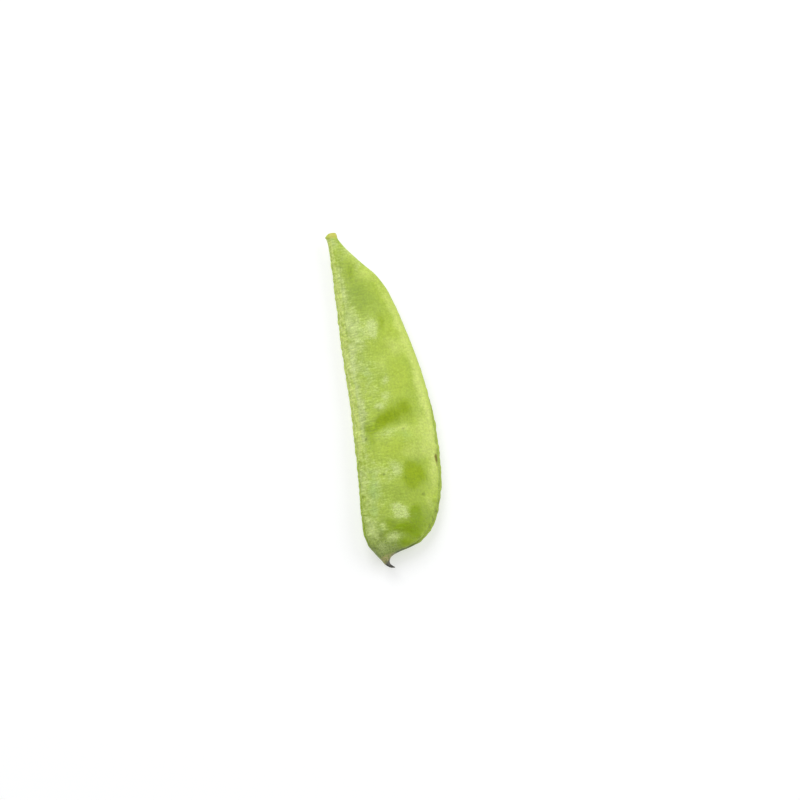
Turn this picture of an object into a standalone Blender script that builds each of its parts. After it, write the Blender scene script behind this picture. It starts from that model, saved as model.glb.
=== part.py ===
"""A flat green bean pod of the broad half-moon kind, as picked, lying on its side.

The pod grew as one piece, so it is one solid: a loft of closed sections between its two margins, from the
snapped stalk at one end to the dry hooked style at the other. The faces swell over the seeds and sink between
them, and each margin carries a seam: a fine rib between two grooves, with a warty lip on either side.

Sizes are in millimetres until the last step. Along the pod, distances run from the stalk's end to the hook's
tip. The stalk points along +Y and +Z is up. The origin is on the surface that the pod rests on, below the
middle of the pod's box.
"""

import math

import bmesh
import bpy
import numpy as np
from mathutils import Vector, noise

MM = 0.001

# The outline seen from above, as (distance along the pod, offset to the side). The pod's own straight line,
# offset 0, joins the middle of the stalk's end to the tip of the hook.
STRAIGHT_MARGIN = (
    (0.0, -1.15),
    (0.35, -1.6),
    (1.2, -1.9),
    (2.4, -2.05),
    (8.6, -2.15),
    (22.0, -2.75),
    (40.0, -3.65),
    (58.0, -4.15),
    (72.0, -5.1),
    (84.0, -6.05),
    (91.0, -6.75),
    (96.0, -7.1),
    (99.5, -7.05),
    (102.5, -6.35),
    (104.9, -5.1),
    (107.0, -3.75),
    (108.4, -2.8),
    (109.3, -1.95),
    (109.9, -1.0),
    (110.0, -0.35),
)
BOWED_MARGIN = (
    (0.0, 0.85),
    (0.5, 1.1),
    (1.4, 1.15),
    (2.4, 1.2),
    (4.4, 2.1),
    (8.2, 4.5),
    (12.2, 7.35),
    (16.2, 10.35),
    (20.4, 12.4),
    (27.0, 14.35),
    (36.0, 16.2),
    (47.0, 18.05),
    (58.0, 19.2),
    (67.0, 19.5),
    (77.0, 18.9),
    (86.0, 17.85),
    (92.0, 16.3),
    (97.3, 14.0),
    (101.0, 11.3),
    (103.2, 8.6),
    (104.4, 5.6),
    (105.2, 2.4),
    (105.9, 0.4),
    (106.8, -0.85),
    (107.8, -1.25),
    (108.7, -0.95),
    (109.4, -0.4),
    (110.0, 0.2),
)

# At these shares of the pod's length: how thick it is, how square its section is (2 is an ellipse, and more
# has a flatter face and a blunter edge), how high its middle is lifted, and how far it leans to a side.
SHARES = (0.0, 0.02, 0.05, 0.1, 0.18, 0.3, 0.5, 0.7, 0.82, 0.9, 0.945, 0.965, 0.98, 1.0)
THICKNESS = (2.4, 2.8, 3.2, 4.1, 5.5, 6.7, 7.2, 7.2, 6.8, 5.6, 3.8, 2.4, 1.5, 0.8)
SQUARENESS = (2.0, 2.0, 2.1, 2.5, 3.3, 4.0, 4.3, 4.3, 4.2, 3.8, 2.8, 2.2, 2.0, 2.0)
LIFT = (0.85, 0.8, 0.7, 0.45, 0.1, -0.05, 0.0, 0.2, 0.4, 0.55, 0.6, 0.6, 0.65, 0.8)
LEAN_DEG = (0.0, 0.0, 1.0, 2.5, 3.0, 2.5, 0.5, -2.0, -3.0, -2.5, -1.0, 0.0, 0.0, 0.0)
BOWED_SQUARENESS = 0.5  # the bowed side is sharper: it keeps this share of what is beyond an ellipse
BOWED_THINNER = 0.1  # the bowed margin is this share thinner than the middle, and the straight one thicker

# Each seed under the face: distance along the pod, offset, half its size across and along, and its swelling.
SEEDS = (
    (24.0, 3.6, 4.5, 4.5, 0.16),
    (37.5, 4.8, 6.4, 5.0, 0.42),
    (49.0, 5.2, 6.0, 4.4, 0.2),
    (61.0, 5.4, 7.0, 4.6, 0.4),
    (73.0, 5.2, 7.4, 4.8, 0.55),
    (85.5, 4.6, 7.2, 4.8, 0.55),
    (96.8, 3.2, 5.6, 3.6, 0.5),
)
# Each sunken place beside the seeds, in the same terms, with its depth.
HOLLOWS = (
    (31.0, 7.5, 5.0, 4.0, 0.14),
    (43.5, 8.0, 5.5, 3.6, 0.18),
    (67.0, 8.0, 6.6, 3.0, 0.62),
    (81.0, 12.0, 3.8, 4.6, 0.6),
    (92.5, 9.2, 4.8, 4.6, 0.42),
    (101.0, 2.2, 4.6, 1.8, 0.35),
    (102.0, -2.4, 0.8, 3.4, 0.3),
)
HOLLOWS_BELOW = 0.55  # share of their depth that the hollows have on the underside

# The seam along each margin, measured round the edge from its crest, and smaller where the pod is thin.
RIB_HEIGHT, RIB_HALF_WIDTH = 0.3, 0.42
GROOVE_DEPTH, GROOVE_AT, GROOVE_HALF_WIDTH = 0.4, 0.95, 0.4
LIP_HEIGHT, LIP_AT, LIP_HALF_WIDTH = 0.18, 1.85, 0.8
CHANNEL_DEPTH, CHANNEL_AT, CHANNEL_HALF_WIDTH = 0.14, 4.6, 1.5
WART_HEIGHT, WART_PITCH = 0.6, 2.1
WARTS_START, WARTS_FULL, WARTS_END = 0.5, 1.85, 5.0
FULL_SEAM_THICKNESS, LEAST_SEAM = 6.5, 0.4
SEAM_GROWS, SEAM_FADES = (0.02, 0.09), (0.9, 0.95)  # shares of the pod's length

# The stalk's end: a collar round it, a scrap of calyx on its straight side, and the scar where it broke off,
# whose rings are given by their size against the end's rim and by their depth.
COLLAR_HEIGHT, COLLAR_AT, COLLAR_HALF_WIDTH = 0.13, 1.3, 0.6
CALYX_HEIGHT, CALYX_AT, CALYX_HALF_LENGTH, CALYX_HALF_ANGLE = 0.45, 1.1, 0.55, 0.45
SCAR_RINGS = ((0.7, 0.0), (0.4, 0.35))
SCAR_DEPTH = 0.45

FLAT_DEPTH = 0.35  # how much of the swollen underside is pressed flat where the pod rests on it

# The loft's rings, closer together at the two ends: how much closer, at which share, and over how much of it.
RINGS = 144
CROWDED = ((2.2, 0.0, 0.06), (2.0, 1.0, 0.12))
# The points in a quarter of each ring, closer together at the margin, and the steps that trace a margin.
QUARTER = (0.0, 0.035, 0.07, 0.12, 0.18, 0.26, 0.37, 0.51, 0.67, 0.83, 1.0)
MARGIN_STEPS = 2000

POD_GREEN = (0.366, 0.503, 0.089, 1.0)
POD_ROUGHNESS = 0.42


def smooth(knots, values, at):
    """The values at the places `at`, read from a smooth curve through those at the knots."""
    knots, values = np.array(knots, float), np.array(values, float)
    step = np.diff(knots)[:, None]
    slope = np.diff(values, axis=0) / step
    inner = (slope[1:] * step[:-1] + slope[:-1] * step[1:]) / (step[1:] + step[:-1])
    tangent = np.vstack([slope[:1], inner, slope[-1:]])
    i = np.clip(np.searchsorted(knots, at) - 1, 0, len(step) - 1)
    t = (at - knots[i])[:, None] / step[i]
    return (
        (1 + 2 * t) * (1 - t) ** 2 * values[i]
        + t * (1 - t) ** 2 * step[i] * tangent[i]
        + t**2 * (3 - 2 * t) * values[i + 1]
        + t**2 * (t - 1) * step[i] * tangent[i + 1]
    )


def distances(points):
    """How far along a line each of its points lies."""
    return np.concatenate([[0.0], np.cumsum(np.linalg.norm(np.diff(points, axis=0), axis=1))])


def margin_at(points, shares):
    """Points at these shares of the length of the smooth line through a margin's points."""
    points = np.array(points)
    knots = distances(points)
    line = smooth(knots, points, np.linspace(0, knots[-1], MARGIN_STEPS))
    run = distances(line)
    return np.column_stack([np.interp(shares * run[-1], run, line[:, k]) for k in (0, 1)])


def bump(distance, half_width):
    """1 at distance 0, and falling smoothly to nothing a little beyond the half width."""
    return np.exp(-((distance / half_width) ** 2))


def ramp(x, low, high):
    """0 below low and 1 above high, with a smooth rise between."""
    t = np.clip((x - low) / (high - low), 0, 1)
    return t * t * (3 - 2 * t)


def ring_shares():
    """The shares of the margins' length where the loft has its rings."""
    u = np.linspace(0, 1, RINGS)
    crowding = 1 + sum(extra * bump(u - at, half_width) for extra, at, half_width in CROWDED)
    run = np.concatenate([[0.0], np.cumsum(2 / (crowding[1:] + crowding[:-1]))])
    return run / run[-1]


def section(squareness):
    """The angles of a ring's points, from the bowed margin over the top and back below, and how far across
    the pod each point lies, from 1 at the bowed margin to -1 at the straight one."""
    powers = (2 + (squareness - 2) * BOWED_SQUARENESS, squareness)
    bowed, straight = (math.pi / 2 * (1 - (1 - np.array(QUARTER)) ** (power / 2)) for power in powers)
    top = np.concatenate([bowed, math.pi - straight[-2::-1]])
    angle = np.concatenate([top, 2 * math.pi - top[-2:0:-1]])
    across = np.cos(angle)
    return angle, np.sign(across) * np.abs(across) ** (2 / np.where(across > 0, *powers))


def outward(ring):
    """The directions, in its own plane, in which a closed ring of points faces."""
    along = np.roll(ring, -1, axis=0) - np.roll(ring, 1, axis=0)
    facing = np.column_stack([along[:, 1], -along[:, 0]])
    return facing / np.linalg.norm(facing, axis=1)[:, None]


def from_crest(ring):
    """How far round the edge each point lies from the nearer margin's crest."""
    run = distances(np.vstack([ring, ring[:1]]))
    straight_crest = run[len(ring) // 2]
    return np.minimum.reduce([run, run[-1] - run, np.abs(run - straight_crest)])[:-1]


def seam_relief(edge, share, thickness, place):
    """How far the seam stands out, at distances round the edge from its crest."""
    size = min(1.0, max(LEAST_SEAM, thickness / FULL_SEAM_THICKNESS))
    edge = edge / size
    rib = RIB_HEIGHT * bump(edge, RIB_HALF_WIDTH)
    groove = GROOVE_DEPTH * bump(edge - GROOVE_AT, GROOVE_HALF_WIDTH)
    lip = LIP_HEIGHT * bump(edge - LIP_AT, LIP_HALF_WIDTH)
    channel = CHANNEL_DEPTH * bump(edge - CHANNEL_AT, CHANNEL_HALF_WIDTH)
    warty = ramp(edge, WARTS_START, WARTS_FULL) * (1 - ramp(edge, WARTS_FULL, WARTS_END))
    warts = WART_HEIGHT * warty * [max(0.0, noise.noise(Vector(p) / WART_PITCH)) for p in place]
    grown = ramp(share, *SEAM_GROWS) * (1 - ramp(share, *SEAM_FADES))
    return size * grown * (rib - groove + lip - channel + warts)


def spots(table, distance, offset):
    """The sum of the smooth rises at the places in a table."""
    rises = [
        height * bump(distance - at, half_along) * bump(offset - side, half_across)
        for at, side, half_across, half_along, height in table
    ]
    return sum(rises)


def face_relief(distance, offset, angle):
    """How far a face stands out over the seeds and sinks beside them, with none of it at the margins."""
    sunken = np.where(np.sin(angle) > 0, 1.0, HOLLOWS_BELOW) * spots(HOLLOWS, distance, offset)
    return (spots(SEEDS, distance, offset) - sunken) * np.sin(angle) ** 2


def stalk_relief(distance, angle):
    """How far the collar and the scrap of calyx stand out at the stalk's end."""
    collar = COLLAR_HEIGHT * bump(distance - COLLAR_AT, COLLAR_HALF_WIDTH)
    beside = bump(distance - CALYX_AT, CALYX_HALF_LENGTH) * bump(angle - math.pi, CALYX_HALF_ANGLE)
    return collar + CALYX_HEIGHT * beside


def leaned(ring, lean_deg, lift):
    """A ring turned in its own plane and lifted."""
    c, s = math.cos(math.radians(lean_deg)), math.sin(math.radians(lean_deg))
    return ring @ np.array([[c, s], [-s, c]]) + np.array([0.0, lift])


def pod_rings():
    """The loft's rings, from the stalk's end to the hook's tip, as points of (distance, offset, height)."""
    shares = ring_shares()
    tables = np.column_stack([THICKNESS, SQUARENESS, LIFT, LEAN_DEG])
    bowed, straight = margin_at(BOWED_MARGIN, shares), margin_at(STRAIGHT_MARGIN, shares)
    rings = []
    for share, b, s, row in zip(shares, bowed, straight, smooth(SHARES, tables, shares)):
        thickness, squareness, lift, lean_deg = row
        middle, half_width = (b + s) / 2, np.linalg.norm(b - s) / 2
        sideways = (b - s) / 2 / half_width
        angle, across = section(squareness)
        up = np.sin(angle) * (1 - BOWED_THINNER * across)
        ring = np.column_stack([half_width * across, thickness / 2 * up])

        distance, offset = (middle + ring[:, :1] * sideways).T
        place = np.column_stack([distance, offset, ring[:, 1]])
        relief = seam_relief(from_crest(ring), share, thickness, place)
        relief += face_relief(distance, offset, angle) + stalk_relief(distance, angle)
        ring = leaned(ring + outward(ring) * relief[:, None], lean_deg, lift)
        rings.append(np.column_stack([middle + ring[:, :1] * sideways, ring[:, 1]]))
    return rings


def scar_rings(rim):
    """The smaller rings inside the stalk's broken end, from its rim inwards, and the scar's middle point."""
    centre, inwards = rim.mean(axis=0), np.array([1.0, 0.0, 0.0])
    rings = [centre + (rim - centre) * size + inwards * depth for size, depth in SCAR_RINGS]
    return rings, centre + inwards * SCAR_DEPTH


def settled(points):
    """The points in the pod's own frame, with the underside pressed flat where it rests."""
    distance, offset, height = points.T
    placed = np.column_stack([offset, -distance, np.maximum(height - height.min() - FLAT_DEPTH, 0)])
    placed[:, :2] -= (placed[:, :2].min(axis=0) + placed[:, :2].max(axis=0)) / 2
    return placed


def loft(name, rings, first, last):
    """A closed mesh through rings of equally many points, drawn together to one point at either end."""
    mesh = bmesh.new()
    made = [mesh.verts.new(p * MM) for p in settled(np.vstack([first, *rings, last]))]
    count = len(rings[0])
    loops = [made[1 + i * count : 1 + (i + 1) * count] for i in range(len(rings))]
    for k in range(count):
        n = (k + 1) % count
        mesh.faces.new((made[0], loops[0][n], loops[0][k]))
        mesh.faces.new((made[-1], loops[-1][k], loops[-1][n]))
        for near, far in zip(loops, loops[1:]):
            mesh.faces.new((near[k], near[n], far[n], far[k]))
    bmesh.ops.recalc_face_normals(mesh, faces=mesh.faces[:])
    data = bpy.data.meshes.new(name)
    mesh.to_mesh(data)
    mesh.free()
    return data


def pod_material():
    material = bpy.data.materials.new("pod_skin")
    material.use_nodes = True
    shader = material.node_tree.nodes["Principled BSDF"]
    shader.inputs["Base Color"].default_value = POD_GREEN
    shader.inputs["Roughness"].default_value = POD_ROUGHNESS
    shader.inputs["Metallic"].default_value = 0.0
    return material


def build_pod(collection):
    rings = pod_rings()
    scar, scar_middle = scar_rings(rings[0])
    data = loft("flat_bean_pod", [*scar[::-1], *rings], scar_middle, rings[-1].mean(axis=0))
    data.shade_smooth()
    data.materials.append(pod_material())
    collection.objects.link(bpy.data.objects.new("flat_bean_pod", data))


def main():
    for old in list(bpy.data.objects):
        bpy.data.objects.remove(old)
    collection = bpy.data.collections.new("flat_bean")
    bpy.context.scene.collection.children.link(collection)
    build_pod(collection)


main()
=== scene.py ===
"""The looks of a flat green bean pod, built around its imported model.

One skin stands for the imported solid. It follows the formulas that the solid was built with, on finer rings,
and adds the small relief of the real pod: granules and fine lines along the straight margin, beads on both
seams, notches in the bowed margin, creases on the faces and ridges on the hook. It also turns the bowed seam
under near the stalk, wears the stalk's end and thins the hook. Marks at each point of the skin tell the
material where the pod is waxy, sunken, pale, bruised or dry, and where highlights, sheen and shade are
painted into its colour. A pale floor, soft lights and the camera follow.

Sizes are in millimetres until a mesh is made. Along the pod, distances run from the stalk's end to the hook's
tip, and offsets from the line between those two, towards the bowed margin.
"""

import math

import bpy
import numpy as np
from mathutils import Matrix, Vector, noise


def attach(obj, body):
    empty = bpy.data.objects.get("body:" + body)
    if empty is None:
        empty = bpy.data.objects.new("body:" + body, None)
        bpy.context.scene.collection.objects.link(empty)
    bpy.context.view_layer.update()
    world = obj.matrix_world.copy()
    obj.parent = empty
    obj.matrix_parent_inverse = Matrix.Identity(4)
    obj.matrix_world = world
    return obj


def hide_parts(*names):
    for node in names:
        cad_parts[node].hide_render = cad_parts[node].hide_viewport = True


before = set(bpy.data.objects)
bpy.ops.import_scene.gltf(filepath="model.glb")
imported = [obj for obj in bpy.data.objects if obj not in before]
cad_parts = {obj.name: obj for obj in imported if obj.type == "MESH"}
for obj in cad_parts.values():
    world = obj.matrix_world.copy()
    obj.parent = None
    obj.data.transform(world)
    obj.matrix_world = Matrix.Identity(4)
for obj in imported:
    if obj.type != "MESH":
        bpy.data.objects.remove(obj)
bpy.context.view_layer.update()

MM = 0.001

# The outline seen from above, as (distance, offset).
STRAIGHT_MARGIN = (
    (0.0, -1.15),
    (0.35, -1.6),
    (1.2, -1.9),
    (2.4, -2.05),
    (8.6, -2.15),
    (22.0, -2.75),
    (40.0, -3.65),
    (58.0, -4.15),
    (72.0, -5.1),
    (84.0, -6.05),
    (91.0, -6.75),
    (96.0, -7.1),
    (99.5, -7.05),
    (102.5, -6.35),
    (104.9, -5.1),
    (107.0, -3.75),
    (108.4, -2.8),
    (109.3, -1.95),
    (109.9, -1.0),
    (110.0, -0.35),
)
BOWED_MARGIN = (
    (0.0, 0.85),
    (0.5, 1.1),
    (1.4, 1.15),
    (2.4, 1.2),
    (4.4, 2.1),
    (8.2, 4.5),
    (12.2, 7.35),
    (16.2, 10.35),
    (20.4, 12.4),
    (27.0, 14.35),
    (36.0, 16.2),
    (47.0, 18.05),
    (58.0, 19.2),
    (67.0, 19.5),
    (77.0, 18.9),
    (86.0, 17.85),
    (92.0, 16.3),
    (97.3, 14.0),
    (101.0, 11.3),
    (103.2, 8.6),
    (104.4, 5.6),
    (105.2, 2.4),
    (105.9, 0.4),
    (106.8, -0.85),
    (107.8, -1.25),
    (108.7, -0.95),
    (109.4, -0.4),
    (110.0, 0.2),
)

# At these shares of the pod's length: how thick it is, how square its section is, how high its middle is
# lifted, and how far it leans to a side.
SHARES = (0.0, 0.02, 0.05, 0.1, 0.18, 0.3, 0.5, 0.7, 0.82, 0.9, 0.945, 0.965, 0.98, 1.0)
THICKNESS = (2.4, 2.8, 3.2, 4.1, 5.5, 6.7, 7.2, 7.2, 6.8, 5.6, 3.8, 2.4, 1.5, 0.8)
SQUARENESS = (2.0, 2.0, 2.1, 2.5, 3.3, 4.0, 4.3, 4.3, 4.2, 3.8, 2.8, 2.2, 2.0, 2.0)
LIFT = (0.85, 0.8, 0.7, 0.45, 0.1, -0.05, 0.0, 0.2, 0.4, 0.55, 0.6, 0.6, 0.65, 0.8)
LEAN_DEG = (0.0, 0.0, 1.0, 2.5, 3.0, 2.5, 0.5, -2.0, -3.0, -2.5, -1.0, 0.0, 0.0, 0.0)
BOWED_SQUARENESS = 0.5
BOWED_THINNER = 0.1

# Each seed under the face: distance, offset, half its size across and along, and its swelling.
SEEDS = (
    (24.0, 3.6, 4.5, 4.5, 0.16),
    (37.5, 4.8, 6.4, 5.0, 0.42),
    (49.0, 5.2, 6.0, 4.4, 0.2),
    (61.0, 5.4, 7.0, 4.6, 0.4),
    (73.0, 5.2, 7.4, 4.8, 0.55),
    (85.5, 4.6, 7.2, 4.8, 0.55),
    (96.8, 3.2, 5.6, 3.6, 0.5),
)
# Each sunken place beside the seeds, in the same terms, with its depth.
HOLLOWS = (
    (31.0, 7.5, 5.0, 4.0, 0.14),
    (43.5, 8.0, 5.5, 3.6, 0.18),
    (67.0, 8.0, 6.6, 3.0, 0.62),
    (81.0, 12.0, 3.8, 4.6, 0.6),
    (92.5, 9.2, 4.8, 4.6, 0.42),
    (101.0, 2.2, 4.6, 1.8, 0.35),
    (102.0, -2.4, 0.8, 3.4, 0.3),
)
HOLLOWS_BELOW = 0.55

# The seam along each margin, measured round the edge from its crest.
RIB_HEIGHT, RIB_HALF_WIDTH = 0.3, 0.42
GROOVE_DEPTH, GROOVE_AT, GROOVE_HALF_WIDTH = 0.4, 0.95, 0.4
LIP_HEIGHT, LIP_AT, LIP_HALF_WIDTH = 0.18, 1.85, 0.8
CHANNEL_DEPTH, CHANNEL_AT, CHANNEL_HALF_WIDTH = 0.14, 4.6, 1.5
WART_HEIGHT, WART_PITCH = 0.6, 2.1
WARTS_START, WARTS_FULL, WARTS_END = 0.5, 1.85, 5.0
FULL_SEAM_THICKNESS, LEAST_SEAM = 6.5, 0.4
SEAM_GROWS, SEAM_FADES = (0.02, 0.09), (0.9, 0.95)

# The stalk's end: a collar, a scrap of calyx, and the rings of the scar by their size and depth.
COLLAR_HEIGHT, COLLAR_AT, COLLAR_HALF_WIDTH = 0.13, 1.3, 0.6
CALYX_HEIGHT, CALYX_AT, CALYX_HALF_LENGTH, CALYX_HALF_ANGLE = 0.45, 1.1, 0.55, 0.45
SCAR_RINGS = ((0.7, 0.0), (0.4, 0.35))
SCAR_DEPTH = 0.45

FLAT_DEPTH = 0.35

# The rings, closer together at the two ends: how much closer, at which share, and over how much of it.
RINGS = 500
CROWDED = ((2.2, 0.0, 0.06), (2.0, 1.0, 0.12))
# The points in a quarter of a ring, closer together at the margin, and how many stand for them here.
QUARTER = (0.0, 0.035, 0.07, 0.12, 0.18, 0.26, 0.37, 0.51, 0.67, 0.83, 1.0)
QUARTER_POINTS = 47
MARGIN_STEPS = 4000

# Where the solid's own line, offset 0, and the stalk's end lie in the part's frame.
LINE_X, END_Y = -6.196, 55.0

# The seam of the bowed margin is turned under by this much near the stalk, and turns up from here to there.
# Its warts and beads are smoother by this share where it is turned under.
TURNED_UNDER, TURNS_UP, BOWED_SMOOTHER = 1.5, (48.0, 68.0), 0.75

# The small relief that the solid leaves out. Granules lie along the straight margin, rising, full, fading and
# gone at these distances round the edge. Lines are fine grooves: how far round it, half width and depth.
# Beads sit on both margins' crests, and notches cut the bowed one from here to there along the pod, with ends
# this soft. Creases run across the faces, and fade from here to there towards the bowed margin.
GRANULE_HEIGHT, GRANULE_PITCH, FINE_GRANULE_HEIGHT, FINE_GRANULE_PITCH = 0.2, 1.1, 0.07, 0.5
GRANULES_ROUND_EDGE = (0.6, 1.2, 3.4, 6.0)
LINES = ((3.3, 0.25, 0.1), (4.4, 0.25, 0.06))
BEAD_HEIGHT, BEAD_PITCH, BEAD_HALF_WIDTH = 0.2, 1.3, 1.4
NOTCH_DEPTH, NOTCH_PITCH, NOTCHED = 0.4, 1.9, (62.0, 106.0, 6.0)
NOTCH_AT, NOTCH_HALF_WIDTH = 0.8, 1.3
CREASE_HEIGHT, CREASE_PITCH, CREASE_SHAPE = 0.035, 4.0, (4.5, 1.0, 1.0)
CREASES_FADE, CREASES_LOST = (3.0, 9.0), 0.8
FACE_UNEVEN, FACE_UNEVEN_PITCH = 0.09, 3.2
HOOK_RIDGES, HOOK_RIDGE_HEIGHT, HOOK_FROM = 5, 0.05, (0.955, 0.975)
# Each pattern of noise is shifted by a number of its own, so that no two of them line up.
GRANULE_SHIFT, FINE_GRANULE_SHIFT, BEAD_SHIFT = 3.1, 7.7, 9.2
NOTCH_SHIFT, UNEVEN_SHIFT, CREASE_SHIFT = 5.5, 1.3, 4.4

# The hook is thinner on its inner side by this much, from here to there along the pod, and set outwards by
# this.
HOOK_THINNER, HOOK_THINS, HOOK_INNER_HALF_ANGLE = 0.15, (107.0, 108.6), 1.5
HOOK_OUTWARDS = 0.15

# The stalk's end is worn thinner towards the bowed margin, its other side has a full corner with a curl of
# calyx below it, and its upper side is broken back by this much, over this distance.
WORN_DEPTH, WORN_AT, WORN_HALF_LENGTH, WORN_HALF_ANGLE = 0.2, 1.2, 1.0, 1.0
CORNER_HEIGHT, CORNER_HALF_LENGTH, CORNER_HALF_ANGLE = 0.45, 0.7, 1.0
CURL_HEIGHT, CURL_AT, CURL_HALF_LENGTH, CURL_HALF_ANGLE = 0.3, 2.0, 1.3, 0.6
CUT_BACK, CUT_OVER = 0.6, 3.0


def smooth(knots, values, at):
    """The values at the places `at`, read from a smooth curve through those at the knots."""
    knots, values = np.array(knots, float), np.array(values, float)
    step = np.diff(knots)[:, None]
    slope = np.diff(values, axis=0) / step
    inner = (slope[1:] * step[:-1] + slope[:-1] * step[1:]) / (step[1:] + step[:-1])
    tangent = np.vstack([slope[:1], inner, slope[-1:]])
    i = np.clip(np.searchsorted(knots, at) - 1, 0, len(step) - 1)
    t = (at - knots[i])[:, None] / step[i]
    return (
        (1 + 2 * t) * (1 - t) ** 2 * values[i]
        + t * (1 - t) ** 2 * step[i] * tangent[i]
        + t**2 * (3 - 2 * t) * values[i + 1]
        + t**2 * (t - 1) * step[i] * tangent[i + 1]
    )


def distances(points):
    """How far along a line each of its points lies."""
    return np.concatenate([[0.0], np.cumsum(np.linalg.norm(np.diff(points, axis=0), axis=1))])


def margin_at(points, shares):
    """Points at these shares of the length of the smooth line through a margin's points."""
    points = np.array(points)
    knots = distances(points)
    line = smooth(knots, points, np.linspace(0, knots[-1], MARGIN_STEPS))
    run = distances(line)
    return np.column_stack([np.interp(shares * run[-1], run, line[:, k]) for k in (0, 1)])


def bump(distance, half_width):
    """1 at distance 0, and falling smoothly to nothing a little beyond the half width."""
    return np.exp(-((distance / half_width) ** 2))


def ramp(x, low, high):
    """0 below low and 1 above high, with a smooth rise between."""
    t = np.clip((x - low) / (high - low), 0, 1)
    return t * t * (3 - 2 * t)


def between(x, low, high, soft):
    """1 between low and high, and 0 beyond them, with a smooth change as wide as soft."""
    return ramp(x, low - soft / 2, low + soft / 2) * (1 - ramp(x, high - soft / 2, high + soft / 2))


def grain(place, pitch, shift=0.0):
    """Smooth noise from about -1 to 1 at each place, with lumps of about this pitch."""
    start = Vector((shift, -shift, 2 * shift))
    return np.array([noise.noise(Vector(p) / pitch + start) for p in place])


def ring_shares():
    """The shares of the margins' length where the rings are."""
    u = np.linspace(0, 1, RINGS)
    crowding = 1 + sum(extra * bump(u - at, half_width) for extra, at, half_width in CROWDED)
    run = np.concatenate([[0.0], np.cumsum(2 / (crowding[1:] + crowding[:-1]))])
    return run / run[-1]


def quarter_points():
    """Where the points of a quarter ring are, from 0 at the margin to 1 at the middle of the face."""
    steps = np.arange(len(QUARTER))
    return smooth(steps, np.array(QUARTER)[:, None], np.linspace(0, steps[-1], QUARTER_POINTS))[:, 0]


def section(squareness, quarter):
    """The angles of a ring's points, from the bowed margin over the top and back below, and how far across
    the pod each point lies, from 1 at the bowed margin to -1 at the straight one."""
    powers = (2 + (squareness - 2) * BOWED_SQUARENESS, squareness)
    bowed, straight = (math.pi / 2 * (1 - (1 - quarter) ** (power / 2)) for power in powers)
    top = np.concatenate([bowed, math.pi - straight[-2::-1]])
    angle = np.concatenate([top, 2 * math.pi - top[-2:0:-1]])
    across = np.cos(angle)
    return angle, np.sign(across) * np.abs(across) ** (2 / np.where(across > 0, *powers))


def outward(ring):
    """The directions, in its own plane, in which a closed ring of points faces."""
    along = np.roll(ring, -1, axis=0) - np.roll(ring, 1, axis=0)
    facing = np.column_stack([along[:, 1], -along[:, 0]])
    return facing / np.linalg.norm(facing, axis=1)[:, None]


def from_crests(ring, turned_under):
    """How far round the edge each point lies from the bowed margin's crest and from the straight one's. The
    bowed one is turned under by this much."""
    run = distances(np.vstack([ring, ring[:1]]))
    below = np.arange(len(ring)) > len(ring) // 2
    from_bowed = np.abs(run[:-1] - run[-1] * below + turned_under)
    return from_bowed, np.abs(run[:-1] - run[len(ring) // 2])


def seam_relief(edge, share, thickness, place, rough):
    """How far the seam stands out, at distances round the edge from its crest, with its warts this rough."""
    size = min(1.0, max(LEAST_SEAM, thickness / FULL_SEAM_THICKNESS))
    edge = edge / size
    rib = RIB_HEIGHT * bump(edge, RIB_HALF_WIDTH)
    groove = GROOVE_DEPTH * bump(edge - GROOVE_AT, GROOVE_HALF_WIDTH)
    lip = LIP_HEIGHT * bump(edge - LIP_AT, LIP_HALF_WIDTH)
    channel = CHANNEL_DEPTH * bump(edge - CHANNEL_AT, CHANNEL_HALF_WIDTH)
    warty = ramp(edge, WARTS_START, WARTS_FULL) * (1 - ramp(edge, WARTS_FULL, WARTS_END))
    warts = rough * WART_HEIGHT * warty * np.maximum(0, grain(place, WART_PITCH))
    return size * seam_strength(share) * (rib - groove + lip - channel + warts)


def seam_strength(share):
    """How much of the seam there is at this share of the pod's length."""
    return ramp(share, *SEAM_GROWS) * (1 - ramp(share, *SEAM_FADES))


def spots(table, distance, offset):
    """The sum of the smooth rises at the places in a table."""
    rises = [
        height * bump(distance - at, half_along) * bump(offset - side, half_across)
        for at, side, half_across, half_along, height in table
    ]
    return sum(rises)


def face_relief(distance, offset, angle):
    """How far a face stands out over the seeds and sinks beside them, with none of it at the margins."""
    sunken = np.where(np.sin(angle) > 0, 1.0, HOLLOWS_BELOW) * spots(HOLLOWS, distance, offset)
    return (spots(SEEDS, distance, offset) - sunken) * np.sin(angle) ** 2


def stalk_relief(distance, angle):
    """How far the collar and the scrap of calyx stand out at the stalk's end."""
    collar = COLLAR_HEIGHT * bump(distance - COLLAR_AT, COLLAR_HALF_WIDTH)
    beside = bump(distance - CALYX_AT, CALYX_HALF_LENGTH) * bump(angle - math.pi, CALYX_HALF_ANGLE)
    return collar + CALYX_HEIGHT * beside


def from_bowed_side(angle):
    """How far round a ring each angle is from the bowed margin."""
    return np.minimum(angle, 2 * math.pi - angle)


def worn_stalk(distance, angle):
    """How far the stalk's corner and the curl of calyx stand out, less how far its end is worn."""
    worn = bump(distance - WORN_AT, WORN_HALF_LENGTH) * bump(from_bowed_side(angle), WORN_HALF_ANGLE)
    curl = bump(distance - CURL_AT, CURL_HALF_LENGTH) * bump(angle - math.pi, CURL_HALF_ANGLE)
    corner = bump(distance, CORNER_HALF_LENGTH) * bump(angle - math.pi, CORNER_HALF_ANGLE)
    return CORNER_HEIGHT * corner + CURL_HEIGHT * curl - WORN_DEPTH * worn


def thinned_hook(distance, angle):
    """How much thinner the hook is on its inner side."""
    inner = bump(from_bowed_side(angle), HOOK_INNER_HALF_ANGLE)
    return HOOK_THINNER * ramp(distance, *HOOK_THINS) * inner


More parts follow.
